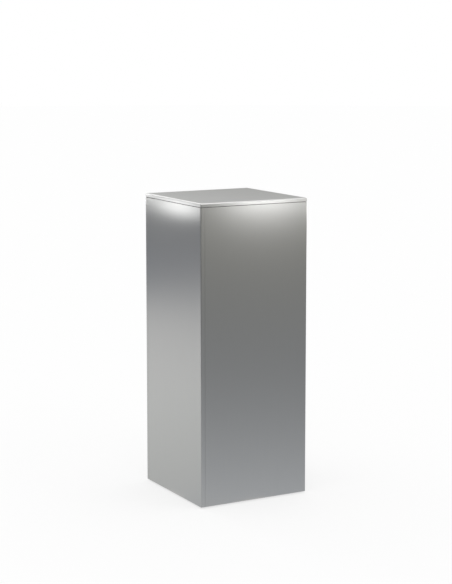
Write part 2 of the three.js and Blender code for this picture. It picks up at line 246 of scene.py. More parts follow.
def carpet_tone(turn, share):
    """From the inside tone to the outside one by share, on two sides, mixed by half of one plus the cosine
    of the angle from the lifted side."""
    lifted = 0.5 + 0.5 * np.cos(turn - LIFTED_SIDE)
    inside, outside = CARPET_TONES_LIFTED
    lifted_tone = inside + share * (outside - inside)
    inside, outside = CARPET_TONES_HANGING
    hanging_tone = inside + share * (outside - inside)
    return lifted * lifted_tone + (1 - lifted) * hanging_tone


def ring_tone(turn, share):
    """Even, less a dip that follows the cosine of the angle from the darker side, and is never below 0."""
    return RING_TONE * (1 - RING_DIP * np.clip(np.cos(turn - DARKER_SIDE), 0, None))


def ring_warmth(turn, share):
    """One part follows minus the cosine of the angle from the lifted side, and is never below 0. The
    other rises with the share over a part of the way up."""
    opposite = np.clip(-np.cos(turn - LIFTED_SIDE), 0, None)
    risen = np.clip((share - RING_WARMS_FROM) / RING_WARMS_OVER, 0, 1)
    return RING_WARMTHS[0] * opposite + RING_WARMTHS[1] * risen


def carpet_warmth(turn, share):
    """From one value to another by half of one plus the cosine of the angle from the lifted side."""
    low, high = CARPET_WARMTHS
    return low + (high - low) * (0.5 + 0.5 * np.cos(turn - LIFTED_SIDE))


def card_place(side, turn, share):
    """An upright oval beside one side: share of its half width times the cosine of the angle along the
    side, and share of its half height times the sine up it."""
    along = CARD_ALONG + share * CARD_HALF_WIDTH * np.cos(turn)
    height = CARD_HEIGHT + share * CARD_HALF_HEIGHT * np.sin(turn)
    return -side * CARD_DISTANCE + 0 * turn, side * along, height


def card_tone(turn, share):
    """Brightest in the middle, and down to nothing at the rim as the square of a cosine."""
    return CARD_TONE * np.cos(share * np.pi / 2) ** 2


cloth_paint, tree, output = material("grey_flag_cloth")
tone = node(tree, "ShaderNodeAttribute", {"attribute_name": "tone"})
warmth = node(tree, "ShaderNodeAttribute", {"attribute_name": "warmth"})
tint = node(
    tree,
    "ShaderNodeMix",
    {"data_type": "RGBA"},
    i0=warmth.outputs["Fac"],
    i6=linear(COOL_WHITE),
    i7=linear(WARM_WHITE),
)
cloth = node(tree, "ShaderNodeEmission", Color=tint.outputs[2], Strength=tone.outputs["Fac"])
tree.links.new(cloth.outputs[0], output.inputs["Surface"])

card_paint, tree, output = material("lit_gauze_card")
tone = node(tree, "ShaderNodeAttribute", {"attribute_name": "tone"})
light = node(tree, "ShaderNodeEmission", Color=linear(WHITE), Strength=tone.outputs["Fac"])
clear = node(tree, "ShaderNodeBsdfTransparent", Color=linear(WHITE))
gauze = node(tree, "ShaderNodeAddShader", i0=light.outputs[0], i1=clear.outputs[0])
tree.links.new(gauze.outputs[0], output.inputs["Surface"])

ring = cloth_grid("flag_ring", ring_place, tone=ring_tone, warmth=ring_warmth)
carpet = cloth_grid("flag_carpet", carpet_place, tone=carpet_tone, warmth=carpet_warmth)
near_card = cloth_grid("card_near", partial(card_place, 1), tone=card_tone)
far_card = cloth_grid("card_far", partial(card_place, -1), tone=card_tone)
for flag in (ring, carpet):
    flag.data.materials.append(cloth_paint)
for flag in (near_card, far_card):
    flag.data.materials.append(card_paint)
for flag in (ring, carpet, near_card, far_card):
    flag.visible_camera = False
    flag.visible_shadow = False
    flag.visible_diffuse = False


# ---------------------------------------------------------------- lamps
# Soft boxes in pairs, half a turn apart: small strips level with the lid make the glow on the front and
# the back. The large ones, high up and overhead, show only in the metal, where they brighten the lid and
# its rolled edge.
def softbox(name, place, aim, size, watts):
    """A rectangular lamp at a place, pointing at an aim."""
    data = bpy.data.lights.new(name, "AREA")
    data.shape = "RECTANGLE"
    data.size, data.size_y = size
    data.energy = watts
    made = bpy.data.objects.new(name, data)
    way = np.array(aim) - np.array(place)
    flat = math.hypot(way[0], way[1])
    made.location = place
    made.rotation_euler = (math.atan2(flat, -way[2]), 0.0, math.atan2(way[1], way[0]) - math.pi / 2)
    made.visible_camera = False
    bpy.context.scene.collection.objects.link(made)
    return made


STRIP_PLACE = (0.33, -0.72, 1.01)
STRIP_AIM = (0.33, -0.2, 0.98)
STRIP_SIZE = (0.26, 0.13)
STRIP_WATTS = 0.66
HIGH_PLACE = (-0.37, 2.98, 2.53)
HIGH_AIM = (0.0, 0.0, 1.0)
HIGH_SIZE = (3.2, 1.5)
HIGH_WATTS = 23.0
OVERHEAD_PLACE = (0.0, 0.0, 3.0)
OVERHEAD_AIM = (0.0, 0.0, 1.0)
OVERHEAD_SIZE = (3.4, 3.4)
OVERHEAD_WATTS = 40.0
HALF_TURN = np.array([-1, -1, 1])

softbox("strip_near", STRIP_PLACE, STRIP_AIM, STRIP_SIZE, STRIP_WATTS)
softbox("strip_far", STRIP_PLACE * HALF_TURN, STRIP_AIM * HALF_TURN, STRIP_SIZE, STRIP_WATTS)
high_lamps = [
    softbox("high_near", HIGH_PLACE, HIGH_AIM, HIGH_SIZE, HIGH_WATTS),
    softbox("high_far", HIGH_PLACE * HALF_TURN, HIGH_AIM * HALF_TURN, HIGH_SIZE, HIGH_WATTS),
    softbox("overhead", OVERHEAD_PLACE, OVERHEAD_AIM, OVERHEAD_SIZE, OVERHEAD_WATTS),
]
for lamp in high_lamps:
    lamp.visible_diffuse = False

# ---------------------------------------------------------------- foot soles
# Discs of black rubber, pressed into the underside of each foot so that it grips and doesn't mark the
# floor. They are moulded with round grooves in the tread and a softly broken rim.
MM = 0.001
FEET = ("front_left", "front_right", "back_right", "back_left")
CORNER_STEPS = 4
INNERMOST = 1 * MM
CREASE = math.radians(38)
SOLE_SIDES = 64
SOLE_EDGE = 0.4 * MM
GROOVE_WIDTH = 1.2 * MM
GROOVE_DEPTH = 0.7 * MM
GROOVE_RADII = np.array([5.0, 8.5, 12.0, 15.5]) * MM
GROOVE_EDGE = 0.15 * MM
RUBBER_BLACK = "#262627"
RUBBER_DUST = "#3B3A39"


def eased(corners, ease):
    """A line through corners [n, 2], each corner eased by a parabola that starts and ends one ease away
    from it: (1 - t)^2 start + 2 t (1 - t) corner + t^2 end."""
    corners = np.asarray(corners, float)
    ease = np.broadcast_to(ease, len(corners))[:, None]
    before = np.roll(corners, 1, axis=0) - corners
    after = np.roll(corners, -1, axis=0) - corners
    start = corners + ease * before / np.linalg.norm(before, axis=1, keepdims=True)
    end = corners + ease * after / np.linalg.norm(after, axis=1, keepdims=True)
    t = np.linspace(0, 1, CORNER_STEPS)[:, None, None]
    return ((1 - t) ** 2 * start + 2 * t * (1 - t) * corners + t**2 * end).swapaxes(0, 1).reshape(-1, 2)


def turned(radius, height, joined=False):
    """Points and faces of a surface round Z: x = radius cos(turn), y = radius sin(turn), with a radius and
    a height for each row, up the outside, and each column, round the turn. The last row joins the
    first one, or else each end runs to a point on the axis."""
    radius, height = np.broadcast_arrays(radius, height)
    rows, columns = radius.shape
    turn = np.linspace(0, 2 * np.pi, columns, endpoint=False)
    points = np.stack([radius * np.cos(turn), radius * np.sin(turn), height], axis=-1).reshape(-1, 3)
    faces = grid_faces(rows, columns, joined).tolist()
    if joined:
        return points, faces
    poles = [[0, 0, height[0].mean()], [0, 0, height[-1].mean()]]
    first = np.arange(columns)
    following = (first + 1) % columns
    last = (rows - 1) * columns
    bottom = np.stack([following, first, 0 * first + len(points)], axis=1)
    top = np.stack([last + first, last + following, 0 * first + len(points) + 1], axis=1)
    return np.concatenate([points, poles]), faces + bottom.tolist() + top.tolist()


def middle_of(name):
    """The middle of a node's box on plan, at floor level."""
    low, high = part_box(name)
    return np.array([(low.x + high.x) / 2, (low.y + high.y) / 2, 0.0])


def settle(piece, stands_for, body, paint):
    """Gives a new piece its finish, and puts it in the place of a node on its body."""
    piece.data.materials.append(paint)
    piece.data.set_sharp_from_angle(angle=CREASE)
    normals = piece.modifiers.new("even_flats", "WEIGHTED_NORMAL")
    normals.keep_sharp = True
    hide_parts(stands_for)
    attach(piece, body)


def sole_shape():
    """The grooves as square notches in the underside, then the outside up to the flat top."""
    low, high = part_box("foot_sole_front_left")
    radius = (high.x - low.x) / 2
    notch = np.array([[-0.5, 0], [-0.5, 1], [0.5, 1], [0.5, 0]]) * (GROOVE_WIDTH, GROOVE_DEPTH)
    grooves = (GROOVE_RADII[:, None, None] * (1, 0) + notch).reshape(-1, 2)
    outside = [(radius, 0), (radius, high.z), (INNERMOST, high.z)]
    corners = np.concatenate([[(INNERMOST, 0)], grooves, outside])
    ease = np.full(len(corners), GROOVE_EDGE)
    ease[-3:] = SOLE_EDGE
    line = eased(corners, ease)
    return turned(line[CORNER_STEPS - 1 :, :1] + np.zeros(SOLE_SIDES), line[CORNER_STEPS - 1 :, 1:])


# Black rubber looks matt and slightly dusty, with the fine tooth of the mould.
def moulded_rubber():
    made, tree, output = material("moulded_black_rubber")
    place = node(tree, "ShaderNodeTexCoord").outputs["Object"]
    tooth = node(tree, "ShaderNodeTexNoise", Vector=place, Scale=1 / (0.6 * MM), Detail=2.0)
    dust = node(tree, "ShaderNodeTexNoise", Vector=place, Scale=1 / (9 * MM), Detail=4.0)
    colour = node(
        tree,
        "ShaderNodeMix",
        {"data_type": "RGBA"},
        i0=dust.outputs["Fac"],
        i6=linear(RUBBER_BLACK),
        i7=linear(RUBBER_DUST),
    )
    relief = node(tree, "ShaderNodeBump", Strength=0.4, Distance=0.1 * MM, Height=tooth.outputs["Fac"])
    shader = node(
        tree,
        "ShaderNodeBsdfPrincipled",
        Base_Color=colour.outputs[2],
        Roughness=0.88,
        Normal=relief.outputs[0],
    )
    tree.links.new(shader.outputs[0], output.inputs["Surface"])
    return made


rubber = moulded_rubber()
sole_points, sole_faces = sole_shape()
for corner in FEET:
    sole = mesh_object(f"rubber_sole_{corner}", sole_points + middle_of(f"foot_sole_{corner}"), sole_faces)
    settle(sole, f"foot_sole_{corner}", f"pad_{corner}", rubber)

# ---------------------------------------------------------------- foot pads
# Moulded pads of black nylon, with a finger grip round the rim, ribs up the cone, and a collar whose
# socket is sprung over the ball of the stem.
PAD_SIDES = 96
PAD_EDGE = 0.5 * MM
PAD_MOUTH_EDGE = 0.2 * MM
PAD_RIM = 1.7 * MM
PAD_RIM_HEIGHT = 3 * MM
PAD_CEILING = 1.6 * MM
COLLAR_RADIUS = 8 * MM
COLLAR_FOOT = 7 * MM
BALL_HEIGHT = 8.2 * MM
SOCKET_RADIUS = 4.4 * MM
SOCKET_STEPS = 10
GRIP_COUNT = 24
GRIP_DEPTH = 0.35 * MM
RIB_COUNT = 8
RIB_HEIGHT = 0.9 * MM
RIB_POWER = 8
CONE_SHARES = np.linspace(0.1, 0.9, 9)
NYLON_BLACK = "#1A1A1C"
NYLON_SHEEN = "#232326"


def pad_shape():
    """The outline turned round Z. The grips draw the rim in by a cosine of the turn, and the ribs lift the
    cone by a high power of a cosine, most half way up it."""
    low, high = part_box("foot_pad_front_left")
    rim = (high.x - low.x) / 2
    ceiling = low.z + PAD_CEILING
    mouth = math.asin((high.z - BALL_HEIGHT) / SOCKET_RADIUS)
    angle = np.linspace(mouth, -math.pi / 2, SOCKET_STEPS, endpoint=False)
    socket = np.stack([SOCKET_RADIUS * np.cos(angle), BALL_HEIGHT + SOCKET_RADIUS * np.sin(angle)], axis=1)
    corners = [
        (INNERMOST, ceiling),
        (rim - PAD_RIM, ceiling),
        (rim - PAD_RIM, low.z),
        (rim, low.z),
        (rim, low.z + PAD_RIM_HEIGHT),
        (COLLAR_RADIUS, COLLAR_FOOT),
        (COLLAR_RADIUS, high.z),
        (socket[0, 0], high.z),
    ]
    shoulder = np.array(corners[4])
    cone = shoulder + CONE_SHARES[:, None] * (np.array(corners[5]) - shoulder)
    line = eased(corners, [PAD_MOUTH_EDGE] + [PAD_EDGE] * 6 + [PAD_MOUTH_EDGE])
    outline = line[CORNER_STEPS - 1 : 5 * CORNER_STEPS]
    collar = line[5 * CORNER_STEPS : -1]
    line = np.concatenate([outline, cone, collar, socket[1:]])
    turn = np.linspace(0, 2 * np.pi, PAD_SIDES, endpoint=False)
    radius, height = line[:, :1], line[:, 1:]
    on_rim = np.clip((radius - (rim - PAD_RIM / 2)) / (PAD_RIM / 2), 0, 1)
    up_cone = np.zeros(len(line))
    up_cone[len(outline) : len(outline) + len(cone)] = np.sin(CONE_SHARES * np.pi)
    grip = on_rim * GRIP_DEPTH * (0.5 + 0.5 * np.cos(GRIP_COUNT * turn))
    rib = up_cone[:, None] * RIB_HEIGHT * (0.5 + 0.5 * np.cos(RIB_COUNT * turn)) ** RIB_POWER
    return turned(radius - grip, height + rib)


# Nylon is moulded against a spark-eroded tool, which leaves an even, slightly shiny grain.
def moulded_nylon():
    made, tree, output = material("moulded_black_nylon")
    place = node(tree, "ShaderNodeTexCoord").outputs["Object"]
    grain = node(tree, "ShaderNodeTexNoise", Vector=place, Scale=1 / (0.35 * MM), Detail=2.0)
    flow = node(tree, "ShaderNodeTexNoise", Vector=place, Scale=1 / (12 * MM), Detail=3.0)
    colour = node(
        tree,
        "ShaderNodeMix",
        {"data_type": "RGBA"},
        i0=flow.outputs["Fac"],
        i6=linear(NYLON_BLACK),
        i7=linear(NYLON_SHEEN),
    )
    gloss = node(tree, "ShaderNodeMapRange", Value=flow.outputs["Fac"], To_Min=0.42, To_Max=0.56)
    relief = node(tree, "ShaderNodeBump", Strength=0.35, Distance=0.06 * MM, Height=grain.outputs["Fac"])
    shader = node(
        tree,
        "ShaderNodeBsdfPrincipled",
        Base_Color=colour.outputs[2],
        Roughness=gloss.outputs[0],
        Normal=relief.outputs[0],
    )
    tree.links.new(shader.outputs[0], output.inputs["Surface"])
    return made


nylon = moulded_nylon()
pad_points, pad_faces = pad_shape()
for corner in FEET:
    pad = mesh_object(f"nylon_pad_{corner}", pad_points + middle_of(f"foot_pad_{corner}"), pad_faces)
    settle(pad, f"foot_pad_{corner}", f"pad_{corner}", nylon)

# ---------------------------------------------------------------- foot stems
# Zinc-plated steel stems, each turned in one piece: a ball for the pad, a neck, a hexagon for a
# 10 mm spanner with chamfered corners, and a rolled M8 thread with a chamfered tip.
STEM_SIDES = 48
BALL_RADIUS = 4 * MM
BALL_STEPS = 14
NECK_RADIUS = 2.6 * MM
NECK_TOP_RADIUS = 3 * MM
HEX_BOTTOM = 12 * MM
HEX_HEIGHT = 5 * MM
HEX_ACROSS_FLATS = 10 * MM
HEX_CHAMFER_SLOPE = math.tan(math.radians(60))
HEX_ROWS = 13
THREAD_RADIUS = 4 * MM
THREAD_PITCH = 1.25 * MM
THREAD_DEPTH = 0.6134 * THREAD_PITCH
THREAD_CREST = 0.25
THREAD_STEPS = 10
THREAD_START = 0.75 * MM
THREAD_RUNOUT = 1.5 * MM
TIP_CHAMFER = 1 * MM
END_RING_SHARE = 0.5
ZINC_BRIGHT = "#C3C7CB"
ZINC_DULL = "#9DA2A6"


def thread_wave(height, turn, pitch, crest):
    """1 on the crests and 0 in the roots: a triangle wave of the height in pitches less the turn's
    share, raised until its tops are cut flat over the crest's share of the pitch."""
    phase = (height / pitch - turn / (2 * np.pi)) % 1.0
    return np.clip((1 - np.abs(2 * phase - 1)) / (1 - crest), 0, 1)


def stem_shape():
    """Radius as a function of height and turn: a circle's chord on the ball, the flats' distance over the
    cosine of the angle from a flat on the hexagon, cut by a cone at both ends, and a helical wave on
    the thread."""
    turn = np.linspace(0, 2 * np.pi, STEM_SIDES, endpoint=False)
    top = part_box("foot_stem_front_left")[1].z
    angle = np.linspace(-math.pi / 2, math.acos(NECK_RADIUS / BALL_RADIUS), BALL_STEPS + 1)[1:, None]
    ball = BALL_RADIUS * np.cos(angle)
    ball_height = BALL_HEIGHT + BALL_RADIUS * np.sin(angle)
    hex_top = HEX_BOTTOM + HEX_HEIGHT
    hex_height = np.linspace(HEX_BOTTOM, hex_top, HEX_ROWS)[:, None]
    from_flat = (turn + math.pi / 6) % (math.pi / 3) - math.pi / 6
    flats = HEX_ACROSS_FLATS / 2 / np.cos(from_flat)
    from_end = np.minimum(hex_height - HEX_BOTTOM, hex_top - hex_height)
    hexagon = np.minimum(flats, HEX_ACROSS_FLATS / 2 + from_end * HEX_CHAMFER_SLOPE)
    rows = round((top - hex_top) / THREAD_PITCH * THREAD_STEPS)
    height = np.linspace(hex_top, top, rows)[:, None]
    depth = THREAD_DEPTH * np.clip((height - hex_top - THREAD_START) / THREAD_RUNOUT, 0, 1)
    thread = THREAD_RADIUS - depth * (1 - thread_wave(height, turn, THREAD_PITCH, THREAD_CREST))
    thread = np.minimum(thread, THREAD_RADIUS - TIP_CHAMFER + (top - height))
    neck = np.array([[NECK_RADIUS], [NECK_TOP_RADIUS]])
    radii = [ball, neck, hexagon, thread, thread[-1:] * END_RING_SHARE]
    heights = [ball_height, np.full((2, 1), HEX_BOTTOM), hex_height, height, height[-1:]]
    spread = [part + np.zeros(STEM_SIDES) for part in radii]
    return turned(np.concatenate(spread), np.concatenate(heights))


# Clear-passivated zinc is a bright bluish silver that dulls in fine cloudy patches.
def zinc_plate():
    made, tree, output = material("zinc_plated_steel")
    place = node(tree, "ShaderNodeTexCoord").outputs["Object"]
    clouds = node(tree, "ShaderNodeTexNoise", Vector=place, Scale=1 / (2.5 * MM), Detail=5.0)
    colour = node(
        tree,
        "ShaderNodeMix",
        {"data_type": "RGBA"},
        i0=clouds.outputs["Fac"],
        i6=linear(ZINC_BRIGHT),
        i7=linear(ZINC_DULL),
    )
    gloss = node(tree, "ShaderNodeMapRange", Value=clouds.outputs["Fac"], To_Min=0.24, To_Max=0.44)
    shader = node(
        tree,
        "ShaderNodeBsdfPrincipled",
        Base_Color=colour.outputs[2],
        Metallic=1.0,
        Roughness=gloss.outputs[0],
    )
    tree.links.new(shader.outputs[0], output.inputs["Surface"])
    return made


zinc = zinc_plate()
stem_points, stem_faces = stem_shape()
for corner in FEET:
    points = stem_points + middle_of(f"foot_stem_{corner}")
    stem = mesh_object(f"threaded_stem_{corner}", points, stem_faces)
    settle(stem, f"foot_stem_{corner}", f"stem_{corner}", zinc)

# ---------------------------------------------------------------- insert nuts
# Flanged steel nuts, zinc plated, driven up into the base board from below. The barrel is ringed with
# barbs that bite into the board, and the bore carries the thread of the stem.
NUT_SIDES = 48
NUT_BORE = 4.4 * MM
NUT_THREAD_DEPTH = 0.25 * MM
NUT_FLANGE = 1.5 * MM
NUT_EDGE = 0.2 * MM
BARREL_RADIUS = 5.8 * MM
BARB_DEPTH = 0.3 * MM
BARB_PITCH = 1.5 * MM
FLANGE_NOTCHES = 3
FLANGE_NOTCH_DEPTH = 1.2 * MM
FLANGE_NOTCH_POWER = 24
BARREL_ROWS = 61
BORE_ROWS = 97


def nut_shape():
    """A closed line turned round Z: the flange, the barrel with a saw-tooth of its height taken off the
    radius, and the bore with a helical wave. A high power of a cosine notches the flange."""
    low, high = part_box("foot_nut_front_left")
    turn = np.linspace(0, 2 * np.pi, NUT_SIDES, endpoint=False)
    flange = (high.x - low.x) / 2
    corners = [(NUT_BORE, low.z), (flange, low.z), (flange, low.z + NUT_FLANGE)]
    line = eased(corners + [(BARREL_RADIUS, low.z + NUT_FLANGE), (BARREL_RADIUS, high.z)], NUT_EDGE)
    disc = line[CORNER_STEPS : 3 * CORNER_STEPS]
    barrel = np.linspace(low.z + NUT_FLANGE, high.z - NUT_EDGE, BARREL_ROWS)[:, None]
    barbs = BARREL_RADIUS - BARB_DEPTH * (((high.z - barrel) / BARB_PITCH) % 1.0)
    bore = np.linspace(high.z, low.z, BORE_ROWS)[:, None]
    ridges = NUT_BORE - NUT_THREAD_DEPTH * thread_wave(bore, turn, THREAD_PITCH, THREAD_CREST)
    notch = FLANGE_NOTCH_DEPTH * (0.5 + 0.5 * np.cos(FLANGE_NOTCHES * turn)) ** FLANGE_NOTCH_POWER
    rim = disc[:, :1]
    rim = rim - notch * np.clip((rim - BARREL_RADIUS) / (flange - BARREL_RADIUS), 0, 1)
    top = np.array([[BARREL_RADIUS - BARB_DEPTH]])
    radii = [part + np.zeros(NUT_SIDES) for part in (rim, barbs, top, ridges)]
    heights = [disc[:, 1:], barrel, np.array([[high.z]]), bore]
    return turned(np.concatenate(radii), np.concatenate(heights), joined=True)


nut_points, nut_faces = nut_shape()
for corner in FEET:
    nut = mesh_object(f"insert_nut_{corner}", nut_points + middle_of(f"foot_nut_{corner}"), nut_faces)
    settle(nut, f"foot_nut_{corner}", "column", zinc)

# ---------------------------------------------------------------- screws
# Countersunk chipboard screws, zinc plated, with a six-lobed recess: three through each joint of the
# sides, one up through each corner of the base board, one down through each corner of the top board,
# and four that hold the plug to the lid.
SIDES = ("front", "right", "back", "left")
SCREW_SIDES = 24
SCREW_HEAD_RADIUS = 4 * MM
SCREW_HEAD_HEIGHT = 2.6 * MM
SCREW_CREST = 2 * MM
SCREW_ROOT = 1.3 * MM
SCREW_SHANK = 1.45 * MM
SCREW_PITCH = 2 * MM
SCREW_THREAD_STEPS = 8
SCREW_THREAD_SHARPNESS = 3
SCREW_FADE_POWER = 0.25
SCREW_POINT = 0.05 * MM
SCREW_BLUNTNESS = 0.05
SCREW_TIP = 4 * MM
SCREW_PLAIN_SHARE = 0.25
SCREW_NECK_TAPER = 1 * MM
SCREW_RIM = 0.2 * MM
RECESS_LOBES = 6
RECESS_RADIUS = 1.7 * MM
RECESS_LOBE = 0.22 * MM
RECESS_DEPTH = 1.5 * MM
RECESS_DISH = 0.3 * MM


def screw_shape(length):
    """Radius as a function of height and turn. The tip is a cone, and the thread a narrow helical wave on
    the root radius. The recess has a six-lobed cosine outline, straight walls and a dished floor."""
    turn = np.linspace(0, 2 * np.pi, SCREW_SIDES, endpoint=False)
    neck = length - SCREW_HEAD_HEIGHT
    plain = neck - SCREW_PLAIN_SHARE * length
    height = np.linspace(SCREW_POINT, plain, round(plain / SCREW_PITCH * SCREW_THREAD_STEPS))[:, None]
    cone = np.clip(height / SCREW_TIP, SCREW_BLUNTNESS, 1)
    fade = np.clip((plain - height) / SCREW_PITCH, 0, 1) ** SCREW_FADE_POWER
    wave = thread_wave(height, turn, SCREW_PITCH, 0)
    ridge = np.clip(1 + SCREW_THREAD_SHARPNESS * (wave - 1), 0, 1)
    thread = SCREW_ROOT * cone + (SCREW_CREST - SCREW_ROOT) * cone * fade * ridge
    body = [(SCREW_SHANK, plain), (SCREW_SHANK, neck - SCREW_NECK_TAPER), (SCREW_CREST, neck)]
    head = [(SCREW_HEAD_RADIUS, length - SCREW_RIM), (SCREW_HEAD_RADIUS, length)]
    rows = np.array(body + head)
    outline = RECESS_RADIUS + RECESS_LOBE * np.cos(RECESS_LOBES * turn)
    recess = np.stack([outline, outline, outline * END_RING_SHARE])
    down = np.array([[0], [RECESS_DEPTH], [RECESS_DEPTH + RECESS_DISH]])
    radii = [thread, rows[:, :1] + 0 * turn, recess]
    heights = [height, rows[:, 1:], length - down]
    return turned(np.concatenate(radii), np.concatenate(heights))


def drive_screw(name, body, way):
    """A screw in the place of a node, with its head on the side that way points to: each local axis
    becomes a column of the turn, the last one being way."""
    low, high = (np.array(corner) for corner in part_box(name))
    way = np.array(way, float)
    length = abs((high - low) @ way)
    points, faces = screw_shape(length)
    side = np.roll(way, 1)
    axes = np.stack([side, np.cross(way, side), way], axis=1)
    tip = (low + high) / 2 - way * length / 2
    settle(mesh_object(f"chipboard_{name}", points @ axes.T + tip, faces), name, body, zinc)


UP = (0, 0, 1)
DOWN = (0, 0, -1)
OUTWARDS = {"front": (0, -1, 0), "right": (1, 0, 0), "back": (0, 1, 0), "left": (-1, 0, 0)}
for side in SIDES:
    drive_screw(f"base_screw_{side}", "column", DOWN)
    drive_screw(f"top_screw_{side}", "column", UP)
    for count in (1, 2, 3):
        drive_screw(f"joint_screw_{side}_{count}", "column", OUTWARDS[side])
for corner in FEET:
    drive_screw(f"lid_screw_{corner}", "lid", DOWN)

# ---------------------------------------------------------------- base board
# An 18 mm board let in above the lower edge of the sides, that carries the feet. It is MDF, sealed
# with black lacquer against damp from the floor.
# The same black on the side boards' ends is painted shade for the joint below the lid.
LACQUER_AND_END_SHADE_BLACK = "#1C1C1D"
LACQUER_GREY = "#2C2C2D"


# Sealed MDF is a dull near-black that drinks the lacquer unevenly, with raised fibres under it.
def sealed_mdf():
    made, tree, output = material("black_sealed_mdf")
    place = node(tree, "ShaderNodeTexCoord").outputs["Object"]
    patches = node(tree, "ShaderNodeTexNoise", Vector=place, Scale=1 / (45 * MM), Detail=6.0)
    fibres = node(tree, "ShaderNodeTexNoise", Vector=place, Scale=1 / (1.2 * MM), Detail=3.0)
    colour = node(
        tree,
        "ShaderNodeMix",
        {"data_type": "RGBA"},
        i0=patches.outputs["Fac"],
        i6=linear(LACQUER_AND_END_SHADE_BLACK),
        i7=linear(LACQUER_GREY),
    )
    gloss = node(tree, "ShaderNodeMapRange", Value=patches.outputs["Fac"], To_Min=0.5, To_Max=0.8)
    relief = node(tree, "ShaderNodeBump", Strength=0.3, Distance=0.1 * MM, Height=fibres.outputs["Fac"])
    shader = node(
        tree,
        "ShaderNodeBsdfPrincipled",
        Base_Color=colour.outputs[2],
        Roughness=gloss.outputs[0],
        Normal=relief.outputs[0],
    )
    tree.links.new(shader.outputs[0], output.inputs["Surface"])
    return made


def paint_node(name, paint):
    """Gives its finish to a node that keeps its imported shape."""
    nodes[name].data.materials.clear()
    nodes[name].data.materials.append(paint)


paint_node("base_board", sealed_mdf())

# ---------------------------------------------------------------- corner battens
# Glue blocks of planed pine, 24 mm square, up the inside of each corner, that the base board and the
# top board are screwed to.
PINE_EARLY = "#DDBE8C"
PINE_LATE = "#B98B52"
PITH_OFFSET = (60 * MM, 35 * MM, 0.0)
RING_SPACING = 18.85 * MM
WAVE_RADIANS = 20


# Planed pine shows bands of pale early and darker late wood along its length, with a fine fibre. The
# bands are drawn about six times as wide as real ones, so that they show at a distance.
def planed_pine():
    made, tree, output = material("planed_pine")
    place = node(tree, "ShaderNodeTexCoord").outputs["Object"]
    from_pith = node(tree, "ShaderNodeMapping", Vector=place, Location=PITH_OFFSET, Scale=(1, 1, 0.08))
    rings = node(
        tree,
        "ShaderNodeTexWave",
        {"wave_type": "RINGS", "rings_direction": "Z", "wave_profile": "SAW"},
        Vector=from_pith.outputs[0],
        Scale=2 * math.pi / (WAVE_RADIANS * RING_SPACING),
        Distortion=2.5,
        Detail=2.0,
        Detail_Scale=3.0,
    )
    drawn_out = node(tree, "ShaderNodeMapping", Vector=place, Scale=(1, 1, 0.04))
    fibres = node(
        tree,
        "ShaderNodeTexNoise",
        Vector=drawn_out.outputs[0],
        Scale=1 / (0.8 * MM),
        Detail=3.0,
    )
    late = node(
        tree,
        "ShaderNodeMapRange",
        Value=rings.outputs["Fac"],
        From_Min=0.3,
        From_Max=1.0,
        To_Max=0.8,
    )
    banded = node(
        tree,
        "ShaderNodeMix",
        {"data_type": "RGBA"},
        i0=late.outputs[0],
        i6=linear(PINE_EARLY),
        i7=linear(PINE_LATE),
    )
    darker = node(tree, "ShaderNodeMapRange", Value=fibres.outputs["Fac"], To_Max=0.35)
    colour = node(
        tree,
        "ShaderNodeMix",
        {"data_type": "RGBA"},
        i0=darker.outputs[0],
        i6=banded.outputs[2],
        i7=linear(PINE_LATE),
    )
    relief = node(tree, "ShaderNodeBump", Strength=0.3, Distance=0.1 * MM, Height=fibres.outputs["Fac"])
    shader = node(
        tree,
        "ShaderNodeBsdfPrincipled",
        Base_Color=colour.outputs[2],
        Roughness=0.62,
        Normal=relief.outputs[0],
    )
    tree.links.new(shader.outputs[0], output.inputs["Surface"])
    return made


pine = planed_pine()
for side in SIDES:
    paint_node(f"corner_batten_{side}", pine)

# ---------------------------------------------------------------- boards
# Raw MDF, sawn to size and glued: four 16 mm side boards, the 12 mm brace half way up, the 18 mm top
# board with its routed opening, and the plug and core of the lid. The side boards' ends are painted
# black, which is painted shade for the dark joint below the lid.
MDF_FACE = "#AD8C66"
MDF_FACE_DARK = "#977651"
MDF_EDGE = "#8A6842"
RAW_COVER = (0.25, 0.75)
END_SHADE_COVER = (0.93, 1.0)
FIBRE_LENGTH = 2.2 * MM


